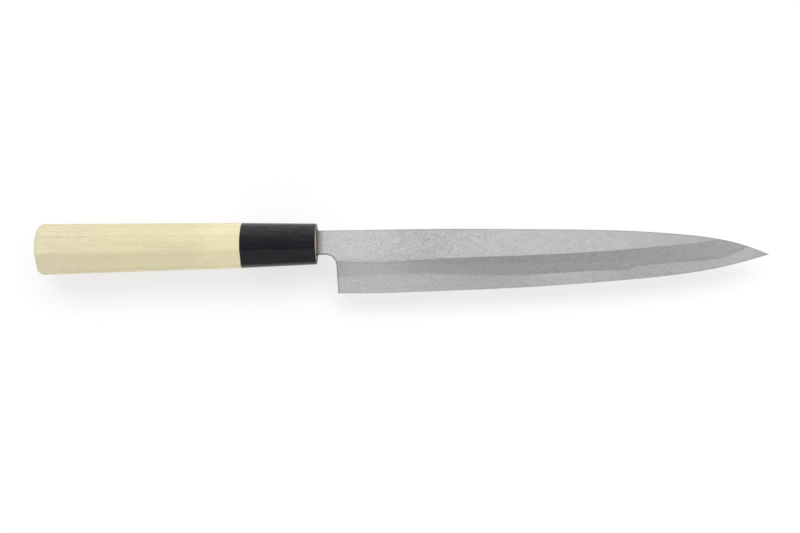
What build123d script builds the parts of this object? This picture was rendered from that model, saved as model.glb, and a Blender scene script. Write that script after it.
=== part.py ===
from build123d import *
from math import hypot, radians, sqrt, tan
from typing import NamedTuple
import os

# A single-bevel slicing knife for the right hand, lying on its back with the bevelled side up.
# It is drawn from the heel of the blade: X is zero at the heel corner and grows towards the
# tip, Y is zero on the straight part of the spine and falls towards the edge, and Z is zero on
# the flat back of the blade. At the end the whole knife is moved so that its origin is at the
# bottom of its box, under the middle. All lengths are in millimetres.

# Blade
blade_length = 211.6
heel_height = 30.8
spine_thickness = 3.5
neck_length = 10.4
neck_height = 11.8
neck_thickness = 3.75
neck_drop = 0.9
choil_radius = 5.4
heel_lean_angle = 2.8
spine_rounding = 0.15
choil_rounding = 0.8

# Each row is one station along the blade, in shares. The first number is its place along the
# blade length. Then come the drop of the spine, the drop of the edge and the height of the
# bevel, as shares of the heel height, and the thickness, as a share of the spine thickness.
# The last number is the hard steel's share of that thickness. The first row lies behind the
# heel and the last one past the tip, so that what is cut by the rows is cut right through.
blade_station_shares = (
    (-0.030, 0.027, 1.022, 0.513, 1.010, 0.50),
    (0.000, 0.023, 1.023, 0.513, 1.000, 0.50),
    (0.236, 0.000, 0.986, 0.515, 0.900, 0.50),
    (0.445, 0.003, 0.923, 0.508, 0.810, 0.38),
    (0.654, 0.025, 0.817, 0.487, 0.710, 0.40),
    (0.793, 0.082, 0.719, 0.475, 0.620, 0.40),
    (0.898, 0.180, 0.593, 0.445, 0.500, 0.35),
    (0.958, 0.292, 0.487, 0.424, 0.410, 0.32),
    (1.000, 0.403, 0.403, 0.400, 0.340, 0.30),
    (1.030, 0.493, 0.338, 0.385, 0.300, 0.30),
)
bevel_overrun_share = 0.5

# Hard steel layer: it ends at the neck in a ramp, where it was welded to the iron
steel_ramp_length = 7.0

# Hollow-ground back, with a flat rim all round. It fades out in the neck and near the tip.
# At the heel corner it leaves a flat spot, whose middle lies inset from the heel and the edge.
flat_spot_inset = 5.5
rim_width = 1.5
hollow_depth_share = 0.0125
hollow_runout = 0.15
hollow_start_share = 0.5
hollow_widening_shares = ((0.08, 0.62), (0.28, 0.93))
hollow_end_share = 0.7

# Tang
tang_length = 100.0
tang_end_height = 5.0
tang_end_thickness = 2.0

# Handle: heights are along Y and thicknesses along Z
handle_length = 135.5
ferrule_length = 36.4
butt_height = 24.95
butt_thickness = 22.0
joint_height = 22.1
joint_thickness = 20.0
front_height = 19.95
front_thickness = 18.4
handle_offset = 0.5
handle_fall = 2.8
ridge_share = 0.20
facet_end_share = 0.86
facet_rounding = 2.5
butt_dome = 0.3
butt_rounding = 2.0
front_dome = 0.12
front_rounding = 0.3

# Fits inside the handle
glue_gap = 0.05
slot_gap = 0.2
seal_depth = 3.0
seal_wall = 0.6
seal_bead = 0.5
tenon_wall = 0.4
pilot_diameter = 6.0
pilot_overlap = 30.0
pilot_past_tang = 5.0

# One length that every cutter runs past what it cuts
overrun = 2.0


class Station(NamedTuple):
    """The blade at one place along its length, in millimetres."""

    x: float
    spine: float
    edge: float
    bevel: float
    thickness: float
    steel: float


def station(shares):
    """The station that one row of shares stands for."""
    place, spine, edge, bevel, thickness, steel = shares
    thick = thickness * spine_thickness
    return Station(
        place * blade_length,
        -spine * heel_height,
        -edge * heel_height,
        bevel * heel_height,
        thick,
        steel * thick,
    )


def between(one, other, share):
    """The station that lies a share of the way from one station to another."""
    return Station(*[a + share * (b - a) for a, b in zip(one, other)])


stations = [station(row) for row in blade_station_shares]
on_blade = stations[1:]
heel = on_blade[0]
past_tip = on_blade[-1]

neck_end = -(neck_length + seal_depth)
neck_bottom = -(neck_drop + neck_height)
neck_middle = -(neck_drop + neck_height / 2)
blade_middle = neck_thickness / 2

handle_front = -neck_length
handle_butt = handle_front - handle_length
handle_joint = handle_front - ferrule_length
front_middle = neck_middle - handle_offset
tang_end = handle_front - tang_length
seal_reach = glue_gap + seal_wall
tenon_radius = tenon_wall + hypot(
    handle_offset + neck_height / 2 + seal_reach, neck_thickness / 2 + seal_reach
)


def across(x):
    """The plane that cuts the knife at x, with its own axes along Y and Z."""
    return Plane(origin=(x, 0, 0), x_dir=(0, 1, 0), z_dir=(1, 0, 0))


def handle_middle(x):
    """The height of the handle's middle line, which falls towards the butt."""
    return front_middle - handle_fall * (handle_front - x) / handle_length


# Blade


def blade_outline():
    """The blade seen from above, left to run past the edge and the tip."""
    low = heel.edge - overrun
    lean = tan(radians(heel_lean_angle))
    neck_foot = (neck_end, neck_bottom)
    neck_top = (neck_end, -neck_drop)
    corner = ((heel.edge - neck_bottom) * lean, neck_bottom)
    heel_foot = (overrun * lean, low)
    spine = Spline(neck_top, *[(s.x, s.spine) for s in on_blade])
    under = FilletPolyline(neck_foot, corner, heel_foot, radius=choil_radius)
    rest = Polyline(heel_foot, (past_tip.x, low), (past_tip.x, past_tip.spine))
    back = Line(neck_foot, neck_top)
    return make_face([*spine.edges(), *under.edges(), *rest.edges(), *back.edges()])


def under_curve(places, low, low_start):
    """A solid right across the knife, under a curve of (x, z) places and down to low."""
    curve = Spline(*places)
    first, last = places[0], places[-1]
    rest = Polyline(last, (last[0], low), (low_start, low), first)
    face = Plane.XZ * make_face([*curve.edges(), *rest.edges()])
    return extrude(face, amount=heel_height + choil_radius + overrun, both=True)


def plate():
    """The blade before its bevel is ground, with its upper edges rounded."""
    solid = extrude(blade_outline(), amount=neck_thickness + overrun)
    tops = [(neck_end, neck_thickness)] + [(s.x, s.thickness) for s in on_blade]
    solid = solid & under_curve(tops, 0, neck_end)
    spine = solid.faces().sort_by(Axis.Z)[-1].edges().sort_by(Axis.Y)[-1]
    solid = fillet(spine, spine_rounding)
    choil = [
        e for e in solid.faces().sort_by(Axis.Z)[-1].edges()
        if neck_end < (e @ 0.5).X < choil_radius / 2 and (e @ 0.5).Y < neck_middle
    ]
    return fillet(choil, choil_rounding)


def bevel_cutter():
    """What is ground away above the bevel, from behind the heel to past the tip."""
    low = heel.edge - 2 * overrun
    sections = []
    for s in stations:
        more_y, more_z = bevel_overrun_share * s.bevel, bevel_overrun_share * s.thickness
        inner = (s.edge + s.bevel + more_y, s.thickness + more_z)
        outer = (s.edge - more_y, -more_z)
        corners = [inner, outer, (low - more_y, -more_z), (low - more_y, inner[1])]
        sections.append(across(s.x) * make_face(Polyline(*corners, close=True)))
    return loft(sections)


def hollow_section(x, middle, width, depth):
    """A slice of the hollow: an arc that would be width wide at its full depth."""
    radius = width / (8 * hollow_depth_share)
    half = sqrt(radius**2 - (radius - depth - overrun) ** 2)
    left, top, right = (middle - half, -overrun), (middle, depth), (middle + half, -overrun)
    arc = ThreePointArc(left, top, right)
    return across(x) * make_face([*arc.edges(), *Line(right, left).edges()])


def hollow_cutter():
    """What is ground out of the back, inside its rim."""
    start_width = neck_height - 2 * rim_width
    start_x = -hollow_start_share * neck_length
    sections = [hollow_section(start_x, neck_middle, start_width, -hollow_runout)]
    widening = [(between(heel, on_blade[1], place), share) for place, share in hollow_widening_shares]
    for s, width_share in widening + [(s, 1) for s in on_blade[1:-2]]:
        width = width_share * (s.spine - s.edge - 2 * rim_width)
        middle = s.spine - rim_width - width / 2
        sections.append(hollow_section(s.x, middle, width, hollow_depth_share * width))
    end = between(on_blade[-3], on_blade[-2], hollow_end_share)
    middle = (end.spine + end.edge) / 2
    sections.append(hollow_section(end.x, middle, end.spine - end.edge, -hollow_runout))
    return loft(sections)


def steel_layer():
    """The space of the hard steel: a layer over the back that starts in a ramp at the neck."""
    slope = steel_ramp_length / heel.steel
    return under_curve([(s.x, s.steel) for s in on_blade], -overrun, -steel_ramp_length - overrun * slope)


def bar(x, middle, height, thickness):
    """The rectangle of the neck or the tang at x."""
    return across(x) * Pos(middle, blade_middle) * Rectangle(height, thickness)


def tang(gap):
    """The tang, from the mouth's inner end to its own end, with a gap all round."""
    return loft(
        [
            bar(neck_end, neck_middle, neck_height + 2 * gap, neck_thickness + 2 * gap),
            bar(
                tang_end - gap,
                handle_middle(tang_end),
                tang_end_height + 2 * gap,
                tang_end_thickness + 2 * gap,
            ),
        ],
        ruled=True,
    )


def mouth_bar(gap):
    """The neck carried on into the mouth of the handle, with a gap all round."""
    face = bar(neck_end, neck_middle, neck_height + 2 * gap, neck_thickness + 2 * gap)
    return extrude(face, amount=seal_depth + overrun)


# Handle


def handle_section(x, middle, height, thickness):
    """An oval slice of the handle with the flat facet of its D shape under the ridge."""
    half_height, half_thickness = height / 2, thickness / 2
    ridge = Vector(-ridge_share * half_height, sqrt(1 - ridge_share**2) * half_thickness)
    foot = Vector(-facet_end_share * half_height, sqrt(1 - facet_end_share**2) * half_thickness)
    along = foot - ridge
    outward = Vector(-along.Y, along.X).normalized() * -thickness
    corners = [ridge - along, foot + along, foot + along + outward, ridge - along + outward]
    oval = Ellipse(half_height, half_thickness) - make_face(Polyline(*corners, close=True))
    edges_of_facet = oval.vertices().sort_by_distance(ridge)[:1] + oval.vertices().sort_by_distance(foot)[:1]
    return across(x) * Pos(middle, blade_middle) * fillet(edges_of_facet, facet_rounding)


def dome_cutter(x, outward, height, dome):
    """What is taken off an end of the handle to leave a dome whose top is at x."""
    radius = ((height / 2) ** 2 + dome**2) / (2 * dome)
    length = 2 * dome + 2 * overrun
    block = Pos(x + outward * (length / 2 - 2 * dome), handle_middle(x), blade_middle)
    # The ball is turned so that its seam lies beside the handle, not on the dome
    ball = Pos(x - outward * radius, handle_middle(x), blade_middle) * Rot(0, 0, 90)
    return block * Box(length, 2 * height, 2 * height) - ball * Sphere(radius)


def handle_body():
    """The whole outside of the handle, the wood and the ferrule together."""
    solid = loft(
        [
            handle_section(handle_butt - overrun, handle_middle(handle_butt), butt_height, butt_thickness),
            handle_section(handle_joint, handle_middle(handle_joint), joint_height, joint_thickness),
            handle_section(handle_front + overrun, front_middle, front_height, front_thickness),
        ],
        ruled=True,
    )
    solid = solid - dome_cutter(handle_butt, -1, butt_height, butt_dome)
    solid = solid - dome_cutter(handle_front, 1, front_height, front_dome)
    butt_reach = handle_butt + butt_dome + butt_rounding
    rim = [e for e in solid.edges() if e.bounding_box().max.X < butt_reach]
    solid = fillet(rim, butt_rounding)
    front_reach = handle_front - front_dome - front_rounding
    rim = [e for e in solid.edges() if e.bounding_box().min.X > front_reach]
    return fillet(rim, front_rounding)


def bead():
    """The resin that stands out of the mouth round the neck, sloping down to it."""
    start = handle_front - front_dome
    foot = bar(start, neck_middle, neck_height + 2 * seal_reach, neck_thickness + 2 * seal_reach)
    top = bar(
        handle_front + seal_bead,
        neck_middle,
        neck_height + seal_reach,
        neck_thickness + seal_reach,
    )
    return loft([foot, top], ruled=True)


def tenon_bar(gap):
    """The round bar of the tenon, from the joint to past the front, with a gap all round."""
    circle = Pos(front_middle, blade_middle) * Circle(tenon_radius + gap)
    return extrude(across(handle_joint) * circle, amount=ferrule_length + overrun)


def pilot_hole():
    """The drilled hole that the end of the tang lies in."""
    start = across(tang_end + pilot_overlap) * Pos(handle_middle(tang_end), blade_middle)
    return extrude(start * Circle(pilot_diameter / 2), amount=-(pilot_overlap + pilot_past_tang))


# The knife

ground = plate() - bevel_cutter() - hollow_cutter()
body = handle_body()
joint_plane = across(handle_joint)
wood_block = split(body, bisect_by=joint_plane, keep=Keep.BOTTOM)
horn_block = split(body, bisect_by=joint_plane, keep=Keep.TOP)
tenon = tenon_bar(0) & body
seal_space = mouth_bar(seal_reach)

pieces = {
    "blade_soft_iron": ground - steel_layer() + tang(0),
    "blade_hard_steel": ground & steel_layer(),
    "handle_wood": wood_block + tenon - tang(slot_gap) - seal_space - pilot_hole(),
    "horn_ferrule": horn_block - tenon_bar(glue_gap),
    "tang_seal": (seal_space & body) + bead() - mouth_bar(glue_gap),
}

knife_box = Compound([solid for piece in pieces.values() for solid in piece.solids()]).bounding_box()
to_origin = Pos(-knife_box.center().X, -knife_box.center().Y, -knife_box.min.Z)

os.makedirs("parts", exist_ok=True)
for name, piece in pieces.items():
    export_step(to_origin * piece, f"parts/{name}.step")

# Where a rack's magnet meets the flat back, and where the middle of a sheath's mouth comes to
flat_spot = to_origin * Pos(flat_spot_inset, heel.edge + flat_spot_inset, 0)
sheath_mouth = to_origin * Pos(0, (heel.spine + heel.edge) / 2, heel.thickness / 2)
print("flat back, in mm:", flat_spot.position)
print("mouth of a sheath, in mm:", sheath_mouth.position)
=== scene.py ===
import logging
from dataclasses import dataclass
from enum import Enum
from math import pi
from typing import Any, Union

import bpy
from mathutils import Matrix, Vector


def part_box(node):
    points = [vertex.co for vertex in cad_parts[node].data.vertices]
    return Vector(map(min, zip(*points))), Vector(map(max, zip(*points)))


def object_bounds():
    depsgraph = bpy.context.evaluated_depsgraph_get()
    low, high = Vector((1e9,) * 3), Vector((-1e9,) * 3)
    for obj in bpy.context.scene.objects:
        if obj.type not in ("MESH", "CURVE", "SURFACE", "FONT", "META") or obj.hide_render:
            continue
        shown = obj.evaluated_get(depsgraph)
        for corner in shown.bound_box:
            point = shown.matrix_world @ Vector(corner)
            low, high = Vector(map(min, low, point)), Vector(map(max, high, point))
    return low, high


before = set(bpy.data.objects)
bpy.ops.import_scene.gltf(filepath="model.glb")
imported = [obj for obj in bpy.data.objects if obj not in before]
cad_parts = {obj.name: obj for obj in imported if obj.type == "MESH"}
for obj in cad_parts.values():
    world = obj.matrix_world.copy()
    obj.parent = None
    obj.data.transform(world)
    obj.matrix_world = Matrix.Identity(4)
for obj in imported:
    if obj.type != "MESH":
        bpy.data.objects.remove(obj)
cad_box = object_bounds()

LOG = logging.getLogger("slicing_knife")

Colour = tuple[float, float, float]
Sizes = tuple[float, float, float]
Band = tuple[float, float]
Stops = tuple[tuple[float, float], ...]
Number = Union[float, "Value"]

MM = 0.001

# The colour sockets of a Mix node
MIX_ONE, MIX_OTHER, MIX_RESULT = 6, 7, 2


# Shader building


class Value:
    """A number in a shader: a socket whose arithmetic adds Math nodes."""

    def __init__(self, shader: "Shader", socket: bpy.types.NodeSocket) -> None:
        """Keeps the socket and the shader that it belongs to."""
        self.shader = shader
        self.socket = socket

    def __add__(self, other: Number) -> "Value":
        """This value plus another."""
        return self.shader.math("ADD", self, other)

    def __sub__(self, other: Number) -> "Value":
        """This value less another."""
        return self.shader.math("SUBTRACT", self, other)

    def __rsub__(self, other: Number) -> "Value":
        """Another value less this one."""
        return self.shader.math("SUBTRACT", other, self)

    def __mul__(self, other: Number) -> "Value":
        """This value times another."""
        return self.shader.math("MULTIPLY", self, other)

    def __truediv__(self, other: Number) -> "Value":
        """This value divided by another."""
        return self.shader.math("DIVIDE", self, other)

    def __abs__(self) -> "Value":
        """This value without its sign."""
        return self.shader.math("ABSOLUTE", self)

    __radd__ = __add__
    __rmul__ = __mul__

    def step(self, low: float, high: float) -> "Value":
        """How far this value has come from low to high, from 0 to 1 and soft at both ends.

        Args:
            low: The value at which the step is 0.
            high: The value at which the step is 1.

        Returns:
            The step.
        """
        if low > high:
            return 1.0 - self.step(high, low)
        settings = {"interpolation_type": "SMOOTHSTEP"}
        inputs = {"Value": self, "From Min": low, "From Max": high}
        return self.shader.node("ShaderNodeMapRange", settings, inputs)

    def curve(self, stops: Stops) -> "Value":
        """This value, from 0 to 1, read off a smooth curve.

        Args:
            stops: The places that the curve goes through.

        Returns:
            The height of the curve at this value.
        """
        return self.shader.node("ShaderNodeFloatCurve", {"points": stops}, {"Value": self})


class Shader:
    """The nodes of one material or of the world, built from expressions."""

    def __init__(self, tree: bpy.types.NodeTree) -> None:
        """Empties the tree that the nodes go into."""
        self.tree = tree
        self.tree.nodes.clear()

    def node(
        self,
        kind: str,
        settings: dict[str, Any] | None = None,
        inputs: dict[Any, Any] | None = None,
        output: int | str = 0,
    ) -> Value:
        """Adds one node.

        Args:
            kind: The node's type.
            settings: Its settings, by name, and the points of a curve. They are set first.
            inputs: The values or links of its sockets, by name or number.
            output: The name or number of the socket to give back.

        Returns:
            The value at the node's output.
        """
        made = self.tree.nodes.new(kind)
        for name, setting in (settings or {}).items():
            if name == "points":
                self._draw(made.mapping, setting)
            else:
                setattr(made, name, setting)
        for name, given in (inputs or {}).items():
            if isinstance(given, Value):
                self.tree.links.new(given.socket, made.inputs[name])
            else:
                made.inputs[name].default_value = given
        return Value(self, made.outputs[output] if made.outputs else None)

    @staticmethod
    def _draw(mapping: bpy.types.CurveMapping, stops: Stops) -> None:
        """Draws a curve through its stops.

        Args:
            mapping: The node's curve.
            stops: The places that it goes through, from 0 to 1.
        """
        points = mapping.curves[0].points
        for place, height in stops[1:-1]:
            points.new(place, height)
        points[0].location, points[-1].location = stops[0], stops[-1]
        mapping.update()

    def math(self, operation: str, *values: Number) -> Value:
        """Adds one Math node.

        Args:
            operation: What it does.
            values: What it does it to.

        Returns:
            The result.
        """
        return self.node("ShaderNodeMath", {"operation": operation}, dict(enumerate(values)))

    def vector(self, operation: str, one: Any, other: Any) -> Value:
        """Adds one Vector Math node.

        Args:
            operation: What it does.
            one: The first vector.
            other: The second vector.

        Returns:
            The resulting vector.
        """
        return self.node("ShaderNodeVectorMath", {"operation": operation}, {0: one, 1: other})

    def parts(self, vector: Value) -> tuple[Value, Value, Value]:
        """The X, Y and Z of a vector.

        Args:
            vector: The vector.

        Returns:
            Its three numbers.
        """
        split = self.node("ShaderNodeSeparateXYZ", None, {0: vector})
        outputs = split.socket.node.outputs
        return Value(self, outputs[0]), Value(self, outputs[1]), Value(self, outputs[2])

    def place(self) -> Value:
        """Where the point lies in the row's frame, in metres."""
        return self.node("ShaderNodeTexCoord", output="Object")

    def facing(self) -> Value:
        """The way that the surface faces."""
        return self.node("ShaderNodeTexCoord", output="Normal")

    def noise(self, place: Value, sizes: Sizes, detail: float, warp: float = 0.0) -> Value:
        """Cloudy noise whose grains have a real size.

        Args:
            place: Where the point lies.
            sizes: The size of a grain along each axis, in metres.
            detail: How many finer layers it has.
            warp: How much it is distorted.

        Returns:
            The noise, from 0 to 1, about 0.5.
        """
        scaled = self.vector("DIVIDE", place, sizes)
        inputs = {"Vector": scaled, "Scale": 1.0, "Detail": detail, "Distortion": warp}
        return self.node("ShaderNodeTexNoise", None, inputs)

    def grain(self, place: Value, sizes: Sizes, detail: float) -> Value:
        """Cloudy noise about 0, whose grains have a real size."""
        return self.noise(place, sizes, detail) - 0.5

    def mix(self, share: Number, one: Any, other: Any, blend: str = "MIX") -> Value:
        """Mixes two colours.

        Args:
            share: How much of the second colour there is.
            one: The first colour.
            other: The second colour.
            blend: The way in which they are mixed.

        Returns:
            The mixed colour.
        """
        settings = {"data_type": "RGBA", "blend_type": blend}
        ends = {MIX_ONE: self._opaque(one), MIX_OTHER: self._opaque(other)}
        return self.node("ShaderNodeMix", settings, {0: share, **ends}, output=MIX_RESULT)

    @staticmethod
    def _opaque(colour: Any) -> Any:
        """A colour as its socket takes it."""
        return (*colour, 1.0) if isinstance(colour, tuple) else colour

    def shade(self, colour: Value, factor: Value) -> Value:
        """Makes a colour lighter or darker.

        Args:
            colour: The colour.
            factor: What its three numbers are multiplied by.

        Returns:
            The shaded colour.
        """
        grey = self.node("ShaderNodeCombineXYZ", None, {0: factor, 1: factor, 2: factor})
        return self.vector("MULTIPLY", colour, grey)

    def bump(self, height: Value, depth: float, normal: Value | None = None) -> Value:
        """A surface that is uneven by a real depth.

        Args:
            height: The height of the surface, from 0 to 1.
            depth: How far 1 stands above 0, in metres.
            normal: An uneven surface that this one lies on.

        Returns:
            The normal of the uneven surface.
        """
        inputs = {"Height": height, "Distance": depth}
        if normal is not None:
            inputs["Normal"] = normal
        return self.node("ShaderNodeBump", None, inputs)

    def surface(self, inputs: dict[str, Any]) -> None:
        """Ends the shader in a Principled surface.

        Args:
            inputs: The values or links of its sockets.
        """
        principled = self.node("ShaderNodeBsdfPrincipled", None, inputs)
        self.node("ShaderNodeOutputMaterial", None, {"Surface": principled})


def new_material(name: str) -> tuple[bpy.types.Material, Shader]:
    """Makes an empty material.

    Args:
        name: The material's name.

    Returns:
        The material and the shader that its nodes go into.
    """
    material = bpy.data.materials.new(name)
    material.use_nodes = True
    return material, Shader(material.node_tree)


# Finishes


@dataclass(frozen=True)
class GroundBlade:
    """The finish of both metals of the blade, which are ground and polished together.

    The wavy line between the iron and the steel runs along the bevel, so one finish covers
    both pieces. The place of a stop is a share of the blade's length, from the heel. The
    height of a stop in the weld line, the ridge and the spine is a share of the heel's height,
    from the top of the spine.
    """

    heel_x: float
    tip_x: float
    spine_y: float
    back_z: float
    neck_x: float
    heel_height: float = 30.8 * MM
    choil_radius: float = 5.4 * MM
    choil_from_heel: float = 6.06 * MM
    choil_from_spine: float = 18.1 * MM
    heel_lean: float = 0.049
    ridge_shares: Stops = (
        (0.0, 0.513),
        (0.236, 0.515),
        (0.445, 0.508),
        (0.654, 0.487),
        (0.793, 0.475),
        (1.0, 0.40),
    )
    spine_shares: Stops = (
        (0.0, 0.023),
        (0.236, 0.0),
        (0.445, 0.003),
        (0.654, 0.025),
        (0.793, 0.082),
        (0.898, 0.180),
        (0.958, 0.292),
        (1.0, 0.403),
    )

    # Which way the upper side, the back and the bevel face
    upper_facing: Band = (0.72, 0.96)
    back_facing: Band = (-0.5, -0.8)
    bevel_facing: Band = (-0.08, -0.12)

    # How light each face is, from the heel to the tip; the flat's fall towards the tip is partly
    # painted shade, and the sides' darker tone is painted shade
    flat_tones_and_shade: Stops = (
        (0.0, 0.675),
        (0.08, 0.66),
        (0.2, 0.594),
        (0.34, 0.632),
        (0.5, 0.635),
        (0.8, 0.578),
        (1.0, 0.53),
    )
    iron_tones: Stops = (
        (0.0, 0.51),
        (0.08, 0.555),
        (0.2, 0.462),
        (0.4, 0.425),
        (0.7, 0.468),
        (1.0, 0.525),
    )
    steel_tones: Stops = (
        (0.0, 0.63),
        (0.15, 0.605),
        (0.38, 0.535),
        (0.52, 0.60),
        (0.7, 0.545),
        (1.0, 0.64),
    )
    back_tone: float = 0.58
    side_shade_tone: float = 0.32

    # The grain, and how much darker and lighter it makes the metal
    speck_size: float = 0.70 * MM
    long_speck: float = 1.7
    long_speck_share: float = 0.5
    speck_strength: float = 0.88
    speck_shares: Stops = (
        (0.0, 0.84),
        (0.06, 0.84),
        (0.15, 0.96),
        (0.4, 0.76),
        (0.6, 0.62),
        (0.78, 0.24),
        (1.0, 0.3),
    )
    bevel_speck: float = 0.85

    # Soft clouds, weaker towards the tip
    cloud_sizes: Sizes = (5 * MM, 2.5 * MM, 2.5 * MM)
    cloud_fade: float = 0.5
    flat_cloud: float = 0.15
    iron_cloud: float = 0.08
    steel_cloud: float = 0.09

    # The line between the iron and the steel, softer at the heel and sharper at the tip
    weld_line_shares: Stops = (
        (0.0, 0.770),
        (0.10, 0.727),
        (0.19, 0.705),
        (0.33, 0.731),
        (0.424, 0.734),
        (0.517, 0.695),
        (0.61, 0.660),
        (0.669, 0.652),
        (0.685, 0.596),
        (0.704, 0.582),
        (0.797, 0.525),
        (0.867, 0.485),
        (0.89, 0.453),
        (0.937, 0.334),
        (0.953, 0.275),
        (1.0, 0.200),
    )
    weld_waver_size: float = 4 * MM
    weld_waver: float = 0.03
    weld_width: float = 0.010
    weld_softer: float = 0.03
    weld_soft_part: Band = (0.45, 0.15)
    weld_turn: Band = (-0.8, 1.0)
    near_weld_band: Band = (-0.10, -0.01)
    near_weld_part: Band = (0.40, 0.55)
    near_weld_darker: float = 0.07

    # Painted shade at the rims, the honed edge and the top of the spine, and the shade about the
    # ridge
    rim_shade_band: Band = (0.9 * MM, 0.3 * MM)
    rim_shade_darker: float = 0.30
    edge_shade_band: Band = (0.14 * MM, 0.03 * MM)
    edge_shade_darker: float = 0.08
    shaded_band: Band = (0.05, 0.02)
    shaded_part: Band = (0.95, 0.75)
    shaded_darker: float = 0.06
    dimmed_far: Band = (-0.16, 0.0)
    dimmed_far_darker: float = 0.05
    dimmed_near: Band = (-0.05, 0.0)
    dimmed_near_darker: float = 0.07
    spine_shade_band: Band = (0.022, 0.012)
    spine_shade_darker: float = 0.16

    # The heat stain and painted shade on the neck, and a faint blush
    bare: Colour = (1.0, 1.0, 1.0)
    stained_and_shaded: Colour = (0.36, 0.345, 0.31)
    stain_and_shade_band: Band = (4.6 * MM, -0.6 * MM)
    blushed: Colour = (1.0, 0.955, 0.965)
    blush_sizes: Sizes = (11 * MM, 6 * MM, 6 * MM)
    blush_band: Band = (0.5, 0.75)
    blush_share: float = 0.5

    # Roughness and relief
    rough: float = 0.46
    bevel_rougher: float = 0.08
    speck_rougher: float = 0.1
    back_smoother: float = 0.12
    speck_depth: float = 0.006 * MM
    scratch_sizes: Sizes = (6 * MM, 0.12 * MM, 0.12 * MM)
    scratch_depth: float = 0.002 * MM

    def material(self) -> bpy.types.Material:
        """Builds the finish.

        Returns:
            The material of both metals.
        """
        material, s = new_material("ground_blade")
        place = s.place()
        x, y, z = s.parts(place)
        _, face_y, face_z = s.parts(s.facing())

        along = (x - self.heel_x) / (self.tip_x - self.heel_x)
        drop = (self.spine_y - y) / self.heel_height
        upper = face_z.step(*self.upper_facing)
        back = face_z.step(*self.back_facing)
        bevel = upper * face_y.step(*self.bevel_facing)

        # Grain from the stones: round on the flat side and drawn out along the bevel
        speck = self._speck(s, place, bevel)
        cloud = s.grain(place, self.cloud_sizes, 2.0)
        cloud = cloud * (1.0 - along * self.cloud_fade)

        iron = along.curve(self.iron_tones)
        waver = s.grain(place, (self.weld_waver_size,) * 3, 3.0)
        weld = drop + waver * self.weld_waver - along.curve(self.weld_line_shares)
        near_weld = weld.step(*self.near_weld_band) * along.step(*self.near_weld_part)
        iron = iron * (1.0 - near_weld * self.near_weld_darker) + cloud * self.iron_cloud
        steel = along.curve(self.steel_tones) + cloud * self.steel_cloud
        softer = along.step(*self.weld_soft_part) * self.weld_softer
        below_weld = (weld / (softer + self.weld_width)).step(*self.weld_turn)
        ground = iron + (steel - iron) * below_weld

        # The flat's tone is partly its own and partly painted shade, darker towards the tip
        flat = along.curve(self.flat_tones_and_shade) + cloud * self.flat_cloud
        # Painted shade: the blade's narrow sides take a darker tone than its faces
        tone = self.side_shade_tone + upper * (flat - self.side_shade_tone)
        tone = tone + bevel * (ground - tone)
        tone = tone + back * (self.back_tone - tone)
        graininess = along.curve(self.speck_shares)
        graininess = graininess + bevel * (self.bevel_speck - graininess)
        tone = tone * (1.0 + speck * graininess * self.speck_strength)
        tone = tone * (1.0 - self._darker(s, (x, y, z), along, drop, upper, bevel))

        # The end of the neck is darker near the ferrule: partly a heat stain from setting the
        # tang, partly painted shade and reflection of the black ferrule
        stain_and_shade = (x - self.neck_x).step(*self.stain_and_shade_band)
        colour = s.mix(stain_and_shade, self.bare, self.stained_and_shaded)
        blush = s.noise(place, self.blush_sizes, 1.0).step(*self.blush_band)
        colour = s.mix(blush * self.blush_share, colour, self.blushed, "MULTIPLY")
        colour = s.shade(colour, tone)

        rough = self.rough + bevel * self.bevel_rougher + speck * self.speck_rougher
        rough = rough - back * self.back_smoother
        scratches = s.noise(place, self.scratch_sizes, 2.0)
        normal = s.bump(speck, self.speck_depth, s.bump(scratches, self.scratch_depth))
        s.surface({"Base Color": colour, "Metallic": 1.0, "Roughness": rough, "Normal": normal})
        return material

    def _speck(self, s: Shader, place: Value, bevel: Value) -> Value:
        """The grain that the stones leave.

        Args:
            s: The shader.
            place: Where the point lies.
            bevel: How far the point is on the bevel.

        Returns:
            The grain, about 0.
        """
        size = self.speck_size
        round_speck = s.grain(place, (size,) * 3, 1.0)
        long_speck = s.grain(place, (size * self.long_speck, size, size), 1.0)
        return round_speck + bevel * (long_speck - round_speck) * self.long_speck_share

    def _darker(
        self,
        s: Shader,
        place: tuple[Value, Value, Value],
        along: Value,
        drop: Value,
        upper: Value,
        bevel: Value,
    ) -> Value:
        """The painted shade: how much darker the metal is made at its rims, edge and spine and
        about the ridge.

        Args:
            s: The shader.
            place: Where the point lies, as X, Y and Z.
            along: Its share of the blade's length, from the heel.
            drop: Its share of the heel's height, from the top of the spine.
            upper: How far the surface is part of the upper side.
            bevel: How far it is part of the bevel.

        Returns:
            The share of the tone that is lost.
        """
        x, y, z = place
        # Painted shade on the rounded rims of the choil and the heel
        lean = (y - (self.spine_y - self.choil_from_spine)) * self.heel_lean
        out_x = s.math("MAXIMUM", x - (self.heel_x - self.choil_from_heel) + lean, 0.0)
        out_y = s.math("MAXIMUM", y - (self.spine_y - self.choil_from_spine), 0.0)
        from_choil = s.math("SQRT", out_x * out_x + out_y * out_y) - self.choil_radius
        rim = from_choil.step(*self.rim_shade_band) * upper
        # Painted shade along the honed edge
        edge_shade = (z - self.back_z).step(*self.edge_shade_band) * bevel
        below_ridge = drop - along.curve(self.ridge_shares)
        shaded = below_ridge.step(*self.shaded_band) * bevel * along.step(*self.shaded_part)
        far = below_ridge.step(*self.dimmed_far) * self.dimmed_far_darker
        near = below_ridge.step(*self.dimmed_near) * self.dimmed_near_darker
        dimmed = (far + near) * (upper - bevel)
        # Painted shade along the top of the spine
        from_spine = drop - along.curve(self.spine_shares)
        spine_shade = from_spine.step(*self.spine_shade_band) * upper
        darker = rim * self.rim_shade_darker + edge_shade * self.edge_shade_darker + shaded * self.shaded_darker
        return darker + dimmed + spine_shade * self.spine_shade_darker


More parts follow.
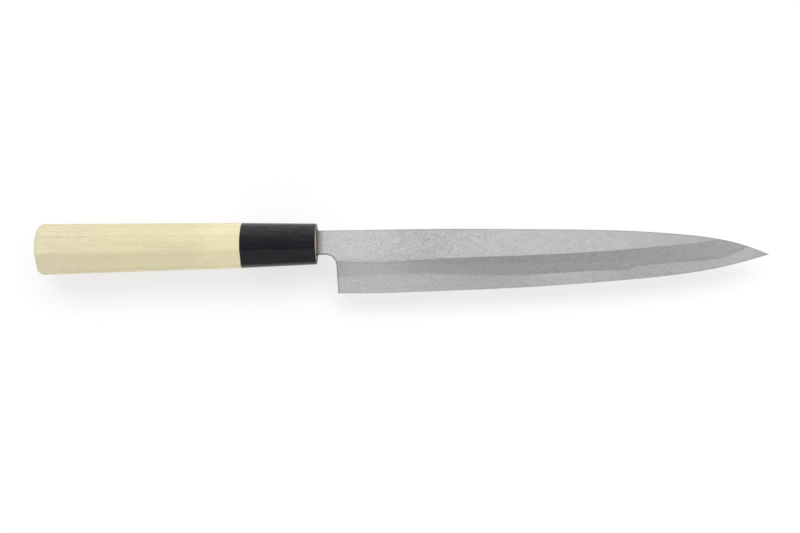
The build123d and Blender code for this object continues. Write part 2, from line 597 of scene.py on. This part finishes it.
@dataclass(frozen=True)
class PaleWood:
    """Pale straight-grained wood, bare and smooth, darker where its grain ends."""

    tenon_y: float
    tenon_z: float
    front_x: float
    butt_x: float
    tenon_radius: float = 7.89 * MM
    early: Colour = (0.760, 0.690, 0.450)
    late: Colour = (0.680, 0.590, 0.350)
    grey: Colour = (0.690, 0.625, 0.445)
    line: Colour = (0.50, 0.45, 0.315)
    end_grain: Colour = (0.50, 0.42, 0.285)
    end_ring: Colour = (0.37, 0.29, 0.185)
    glue: Colour = (0.07, 0.045, 0.03)

    # Growth rings about a far centre, which waver and ripple by shares of a ring
    ring_spacing: float = 2.4 * MM
    ring_centre: tuple[float, float] = (48 * MM, -70 * MM)
    waver_sizes: Sizes = (70 * MM, 16 * MM, 16 * MM)
    waver_rings: float = 0.9
    ripple_sizes: Sizes = (12 * MM, 5 * MM, 5 * MM)
    ripple_rings: float = 0.22
    late_start: Band = (0.2, 0.9)
    late_end: Band = (1.0, 0.94)
    line_start: Band = (0.80, 0.91)
    line_end: Band = (1.0, 0.93)
    late_share: float = 0.12
    line_share: float = 0.06
    butt_line_share: float = 0.75
    broken_sizes: Sizes = (14 * MM, 3 * MM, 3 * MM)
    broken_band: Band = (0.38, 0.58)
    streak_sizes: Sizes = (60 * MM, 2.2 * MM, 2.2 * MM)
    streak_band: Band = (0.42, 0.66)
    streak_share: float = 0.35

    # Where the handle's butt, horn end and edge side begin; the edge side is made lighter by
    # painted light
    butt_band: Band = (46 * MM, 2 * MM)
    horn_band: Band = (-62 * MM, -46 * MM)
    edge_light_band: Band = (7 * MM, -5 * MM)
    butt_grey: float = 0.8

    # How light the wood is, and how much its grain changes that
    tone: float = 0.87
    # Painted light: the edge's side of the handle is lighter
    edge_painted_light: float = 0.10
    horn_lighter: float = 0.08
    butt_lighter: float = 0.05
    cloud_sizes: Sizes = (18 * MM, 7 * MM, 7 * MM)
    cloud_strength: float = 0.05
    fibre_sizes: Sizes = (20 * MM, 0.7 * MM, 0.7 * MM)
    fibre_strength: float = 0.10
    thread_sizes: Sizes = (3.5 * MM, 0.6 * MM, 0.6 * MM)
    thread_strength: float = 0.16
    butt_thread_strength: float = 0.16
    fleck_sizes: Sizes = (1.3 * MM, 0.6 * MM, 0.6 * MM)
    fleck_strength: float = 0.16
    pore_sizes: Sizes = (3.5 * MM, 0.4 * MM, 0.4 * MM)
    pore_band: Band = (0.62, 0.74)
    pore_darker: float = 0.05

    # The cut ends and the glue at the tenon's rim
    end_facing: Band = (0.55, 0.9)
    end_share: float = 0.92
    cut_late: float = 0.45
    cut_line: float = 0.35
    cut_pore: float = 0.15
    glue_inside: Band = (0.7 * MM, 0.1 * MM)
    front_band: Band = (-2.0 * MM, -1.0 * MM)

    # Roughness and relief
    rough: float = 0.52
    fibre_rougher: float = 0.15
    end_rougher: float = 0.2
    specular: float = 0.3
    fibre_depth: float = 0.02 * MM
    pore_depth: float = 0.03 * MM

    def material(self) -> bpy.types.Material:
        """Builds the finish.

        Returns:
            The material of the wood.
        """
        material, s = new_material("pale_wood")
        place = s.place()
        x, y, z = s.parts(place)
        face_x, _, _ = s.parts(s.facing())

        late, line = self._rings(s, place, y, z)
        fibre = s.grain(place, self.fibre_sizes, 2.0)
        thread = s.grain(place, self.thread_sizes, 2.0)
        fleck = s.grain(place, self.fleck_sizes, 1.0)
        streak = s.noise(place, self.streak_sizes, 2.0).step(*self.streak_band)
        pore = s.noise(place, self.pore_sizes, 1.0).step(*self.pore_band)
        cloud = s.grain(place, self.cloud_sizes, 2.0)
        broken = s.noise(place, self.broken_sizes, 2.0).step(*self.broken_band)
        near_butt = (x - self.butt_x).step(*self.butt_band)
        near_horn = (x - self.front_x).step(*self.horn_band)
        edge_side_light = (y - self.tenon_y).step(*self.edge_light_band)

        later = streak * self.streak_share + late * self.late_share
        colour = s.mix(later, self.early, self.late)
        colour = s.mix(near_butt * self.butt_grey, colour, self.grey)
        lined = self.line_share + near_butt * self.butt_line_share
        colour = s.mix(line * lined * broken, colour, self.line)
        # Painted light makes the edge's side lighter
        tone = self.tone + edge_side_light * self.edge_painted_light + near_horn * self.horn_lighter
        tone = tone + near_butt * self.butt_lighter + cloud * self.cloud_strength
        tone = tone + fibre * self.fibre_strength
        tone = tone + thread * (self.thread_strength + near_butt * self.butt_thread_strength)
        tone = tone + fleck * self.fleck_strength - pore * self.pore_darker
        colour = s.shade(colour, tone)

        # End grain soaks up the light, and the tenon is rimmed with glue
        ends = abs(face_x).step(*self.end_facing)
        ringed = late * self.cut_late + line * self.cut_line + pore * self.cut_pore
        cut = s.mix(ringed, self.end_grain, self.end_ring)
        colour = s.mix(ends * self.end_share, colour, cut)
        off_y, off_z = y - self.tenon_y, z - self.tenon_z
        from_axis = s.math("SQRT", off_y * off_y + off_z * off_z)
        outer, inner = self.glue_inside
        rim = from_axis.step(self.tenon_radius - outer, self.tenon_radius - inner)
        front = (x - self.front_x).step(*self.front_band)
        colour = s.mix(rim * front * ends, colour, self.glue)

        rough = self.rough + fibre * self.fibre_rougher + ends * self.end_rougher
        normal = s.bump(fibre, self.fibre_depth, s.bump(1.0 - pore, self.pore_depth))
        inputs = {"Base Color": colour, "Roughness": rough, "Normal": normal}
        s.surface({**inputs, "Specular IOR Level": self.specular})
        return material

    def _rings(self, s: Shader, place: Value, y: Value, z: Value) -> tuple[Value, Value]:
        """The growth rings.

        Args:
            s: The shader.
            place: Where the point lies.
            y: Its Y.
            z: Its Z.

        Returns:
            How late the wood of the ring is, and the line at the ring's end.
        """
        waver = s.grain(place, self.waver_sizes, 2.0)
        ripple = s.grain(place, self.ripple_sizes, 2.0)
        ring_y, ring_z = y - self.ring_centre[0], z - self.ring_centre[1]
        radius = s.math("SQRT", ring_y * ring_y + ring_z * ring_z)
        turns = radius / self.ring_spacing + waver * self.waver_rings + ripple * self.ripple_rings
        ring = s.math("FRACT", turns)
        late = ring.step(*self.late_start) * ring.step(*self.late_end)
        line = ring.step(*self.line_start) * ring.step(*self.line_end)
        return late, line


@dataclass(frozen=True)
class PolishedHorn:
    """Polished black horn with faint grey clouds, sanded matte at its front end; its spine's side
    has a painted highlight, its front a painted highlight and shadow.
    """

    middle_y: float
    dark: Colour = (0.0004, 0.0003, 0.0040)
    cloudy: Colour = (0.009, 0.008, 0.009)
    streaked_and_highlit: Colour = (0.031, 0.030, 0.032)
    sanded_and_highlit: Colour = (0.23, 0.24, 0.205)
    blade_shadowed: Colour = (0.06, 0.063, 0.055)

    # Clouds and flecks in the horn, and streaks with a painted highlight on its spine's side
    cloud_sizes: Sizes = (9 * MM, 4 * MM, 4 * MM)
    cloud_warp: float = 0.6
    cloud_band: Band = (0.42, 0.75)
    cloud_share: float = 0.7
    fleck_sizes: Sizes = (0.9 * MM, 0.7 * MM, 0.7 * MM)
    fleck_band: Band = (0.6, 0.8)
    fleck_share: float = 0.25
    streak_sizes: Sizes = (6 * MM, 1.1 * MM, 1.1 * MM)
    streak_band: Band = (0.30, 0.70)
    streak_and_highlight_facing: Band = (0.24, 0.56)
    painted_highlight: float = 0.35
    streak_share: float = 0.65
    end_facing: Band = (0.6, 0.9)
    # Painted shadow of the blade on the lower part of the sanded front
    blade_shadow_band: Band = (4 * MM, -6 * MM)

    # Roughness and relief
    rough: float = 0.17
    cloud_rougher: float = 0.10
    end_rougher: float = 0.4
    specular: float = 0.27
    dent_size: float = 2.5 * MM
    dent_depth: float = 0.02 * MM

    def material(self) -> bpy.types.Material:
        """Builds the finish.

        Returns:
            The material of the ferrule.
        """
        material, s = new_material("polished_horn")
        place = s.place()
        _, y, _ = s.parts(place)
        face_x, face_y, _ = s.parts(s.facing())
        cloud = s.noise(place, self.cloud_sizes, 3.0, self.cloud_warp)
        fleck = s.noise(place, self.fleck_sizes, 2.0)
        clouded = cloud.step(*self.cloud_band) * self.cloud_share
        clouded = clouded + fleck.step(*self.fleck_band) * self.fleck_share
        colour = s.mix(clouded, self.dark, self.cloudy)
        streak = s.noise(place, self.streak_sizes, 2.0).step(*self.streak_band)
        # Painted highlight: the spine's side is lighter even where there are no streaks
        streak_and_highlight_side = face_y.step(*self.streak_and_highlight_facing)
        streak = streak_and_highlight_side * (self.painted_highlight + streak * self.streak_share)
        colour = s.mix(streak, colour, self.streaked_and_highlit)
        # The sanded front is pale, partly as sanded horn and partly as a painted highlight of its
        # rim, and below the blade it is darker by a painted shadow
        ends = face_x.step(*self.end_facing)
        blade_shadow = (y - self.middle_y).step(*self.blade_shadow_band)
        colour = s.mix(ends, colour, s.mix(blade_shadow, self.sanded_and_highlit, self.blade_shadowed))

        rough = self.rough + cloud * self.cloud_rougher + ends * self.end_rougher
        normal = s.bump(s.noise(place, (self.dent_size,) * 3, 2.0), self.dent_depth)
        inputs = {"Base Color": colour, "Roughness": rough, "Normal": normal}
        s.surface({**inputs, "Specular IOR Level": self.specular})
        return material


@dataclass(frozen=True)
class DarkResin:
    """Brown-black resin, rough where it was wiped off."""

    colour: Colour = (0.05, 0.035, 0.025)
    light: Colour = (0.12, 0.085, 0.06)
    light_band: Band = (0.4, 0.7)
    grain_size: float = 0.6 * MM
    grain_depth: float = 0.05 * MM
    rough: float = 0.6
    grain_rougher: float = 0.2

    def material(self) -> bpy.types.Material:
        """Builds the finish.

        Returns:
            The material of the seal.
        """
        material, s = new_material("dark_resin")
        grain = s.noise(s.place(), (self.grain_size,) * 3, 3.0)
        colour = s.mix(grain.step(*self.light_band), self.colour, self.light)
        rough = self.rough + grain * self.grain_rougher
        normal = s.bump(grain, self.grain_depth)
        s.surface({"Base Color": colour, "Roughness": rough, "Normal": normal})
        return material


@dataclass(frozen=True)
class WhiteTable:
    """A matte white table that looks white to the camera and keeps its shadows."""

    colour: Colour = (0.33, 0.33, 0.33)
    glow: float = 0.67

    def material(self) -> bpy.types.Material:
        """Builds the finish.

        Returns:
            The material of the table.
        """
        material, s = new_material("white_table")
        matte = s.node("ShaderNodeBsdfDiffuse", None, {"Color": (*self.colour, 1.0)})
        seen = s.node("ShaderNodeLightPath", output="Is Camera Ray")
        mirrored = s.node("ShaderNodeLightPath", output="Is Glossy Ray")
        through = s.node("ShaderNodeLightPath", output="Is Transmission Ray")
        strength = (seen + mirrored + through) * self.glow
        glow = s.node("ShaderNodeEmission", None, {"Strength": strength})
        both = s.node("ShaderNodeAddShader", None, {0: matte, 1: glow})
        s.node("ShaderNodeOutputMaterial", None, {"Surface": both})
        return material


# Sub-assemblies


class Piece(Enum):
    """The pieces of the knife, by the names of their nodes."""

    SOFT_IRON = "blade_soft_iron"
    HARD_STEEL = "blade_hard_steel"
    WOOD = "handle_wood"
    FERRULE = "horn_ferrule"
    SEAL = "tang_seal"


def dress(piece: Piece, material: bpy.types.Material) -> None:
    """Gives a piece its material.

    Args:
        piece: The piece.
        material: The finish that it gets.
    """
    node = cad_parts[piece.value]
    for slot in node.material_slots:
        slot.material = material
    low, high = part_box(piece.value)
    size = ", ".join(f"{length / MM:.1f}" for length in high - low)
    LOG.info("%s: %s, %s mm", piece.value, material.name, size)


@dataclass
class Blade:
    """The blade: hard steel forge-welded to the back of soft iron."""

    length: float = 211.6 * MM

    def dress(self) -> None:
        """Gives both metals the finish of the ground blade."""
        low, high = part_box(Piece.HARD_STEEL.value)
        finish = GroundBlade(
            heel_x=high.x - self.length,
            tip_x=high.x,
            spine_y=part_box(Piece.SOFT_IRON.value)[1].y,
            back_z=low.z,
            neck_x=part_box(Piece.WOOD.value)[1].x,
        )
        material = finish.material()
        dress(Piece.SOFT_IRON, material)
        dress(Piece.HARD_STEEL, material)


@dataclass
class Handle:
    """The handle: a wooden block with a tenon, its horn ferrule and the seal at the tang."""

    # How far the tenon's axis lies from the seal's middle, towards the edge
    tenon_drop: float = 0.5 * MM

    def dress(self) -> None:
        """Gives the wood, the horn and the resin their finishes."""
        horn_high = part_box(Piece.FERRULE.value)[1]
        seal_middle = sum(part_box(Piece.SEAL.value), Vector()) / 2
        wood = PaleWood(
            tenon_y=seal_middle.y - self.tenon_drop,
            tenon_z=seal_middle.z,
            front_x=horn_high.x,
            butt_x=cad_box[0].x,
        )
        dress(Piece.WOOD, wood.material())
        dress(Piece.FERRULE, PolishedHorn(middle_y=seal_middle.y).material())
        dress(Piece.SEAL, DarkResin().material())


# Studio


@dataclass(frozen=True)
class Strip:
    """A soft strip of the room that runs along the knife.

    Its places are shares of a turn about the knife, with the edge's side at a quarter,
    straight above at a half and the spine's side at three quarters.
    """

    start: Band
    end: Band
    strength: float

    def at(self, turn: Value) -> Value:
        """How strong the strip is at a place of the turn."""
        return turn.step(*self.start) * turn.step(*self.end) * self.strength


@dataclass
class Studio:
    """The white table and the soft light round it."""

    table_size: float = 6.0
    table_gap: float = 0.05 * MM
    ends_light: float = 1.2
    ends_mirrored: float = 0.6
    ends_band: Band = (0.45, 0.75)

    # The light that falls on the table and the knife
    room_light: float = 0.14
    low_lamp: Strip = Strip(start=(0.15, 0.20), end=(0.32, 0.25), strength=6.3)
    soft_box: Strip = Strip(start=(0.54, 0.65), end=(0.71, 0.65), strength=4.6)

    # What the metal and the horn mirror: white walls with three darker strips
    dark_card: Strip = Strip(start=(0.32, 0.40), end=(0.45, 0.41), strength=0.63)
    ceiling: Strip = Strip(start=(0.41, 0.45), end=(0.57, 0.53), strength=0.28)
    far_wall: Strip = Strip(start=(0.62, 0.65), end=(0.74, 0.69), strength=0.28)

    def build(self) -> None:
        """Makes the table and the light of the room."""
        self._table()
        self._room()

    def _table(self) -> None:
        """Lays the table under the knife."""
        half = self.table_size / 2
        mesh = bpy.data.meshes.new("table")
        corners = [(-half, -half, 0), (half, -half, 0), (half, half, 0), (-half, half, 0)]
        mesh.from_pydata(corners, [], [(0, 1, 2, 3)])
        mesh.materials.append(WhiteTable().material())
        table = bpy.data.objects.new("table", mesh)
        table.location.z = cad_box[0].z - self.table_gap
        bpy.context.scene.collection.objects.link(table)
        LOG.info("table: %.1f m wide", self.table_size)

    def _room(self) -> None:
        """Lights the room from a low lamp on the edge's side and a soft box on the spine's.

        The metal and the horn mirror a plainer room, which is nowhere brighter than white.
        """
        world = bpy.data.worlds.new("room")
        world.use_nodes = True
        bpy.context.scene.world = world
        s = Shader(world.node_tree)
        along, across, up = s.parts(s.node("ShaderNodeTexCoord", output="Generated"))
        turn = s.math("ARCTAN2", across, up) / (2 * pi) + 0.5
        at_ends = abs(along).step(*self.ends_band)
        light = self.low_lamp.at(turn) + self.soft_box.at(turn) + self.room_light
        light = light + at_ends * (self.ends_light - light)
        mirrored = 1.0 - self.dark_card.at(turn) - self.ceiling.at(turn) - self.far_wall.at(turn)
        mirrored = mirrored + at_ends * (self.ends_mirrored - mirrored)
        glossy = s.node("ShaderNodeLightPath", output="Is Glossy Ray")
        strength = light + glossy * (mirrored - light)
        seen = s.node("ShaderNodeLightPath", output="Is Camera Ray")
        seen = seen + s.node("ShaderNodeLightPath", output="Is Transmission Ray")
        strength = strength + seen * (1.0 - strength)
        room = s.node("ShaderNodeBackground", None, {"Strength": strength, "Color": (1, 1, 1, 1)})
        s.node("ShaderNodeOutputWorld", None, {"Surface": room})
        LOG.info("room light: %.1f low, %.1f soft", self.low_lamp.strength, self.soft_box.strength)


@dataclass
class Camera:
    """The camera, straight above the knife, with its foot a little towards the tip.

    Its places are measured from the tip, the spine and the flat back of the blade.
    """

    foot_from_tip: float = 161.7 * MM
    centre_from_tip: float = 181.25 * MM
    centre_from_spine: float = 18.39 * MM
    plane_above_back: float = 1.875 * MM
    view_width: float = 391.6 * MM
    distance: float = 590.0 * MM
    nearest: float = 29.5 * MM
    sensor: float = 36.0

    def build(self) -> None:
        """Makes the camera and hands it to the scene."""
        low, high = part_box(Piece.HARD_STEEL.value)
        data = bpy.data.cameras.new("camera")
        data.sensor_width = self.sensor
        data.lens = self.sensor * self.distance / self.view_width
        data.shift_x = (self.foot_from_tip - self.centre_from_tip) / self.view_width
        data.clip_start = self.nearest
        camera = bpy.data.objects.new("camera", data)
        camera.location = (
            high.x - self.foot_from_tip,
            high.y - self.centre_from_spine,
            low.z + self.plane_above_back + self.distance,
        )
        bpy.context.scene.collection.objects.link(camera)
        bpy.context.scene.camera = camera
        LOG.info("camera: %.1f mm lens, %.0f mm up", data.lens, camera.location.z / MM)


def corners(box: tuple[Vector, Vector]) -> list[list[float]]:
    """A box as plain lists.

    Args:
        box: Its lowest and highest corner.

    Returns:
        The two corners.
    """
    return [list(corner) for corner in box]


def main() -> None:
    """Builds the scene in order."""
    logging.basicConfig(level=logging.INFO, format="%(name)s: %(message)s")
    Blade().dress()
    Handle().dress()
    Studio().build()
    Camera().build()
    bpy.context.scene.view_settings.view_transform = "Standard"


if __name__ == "__main__":
    main()
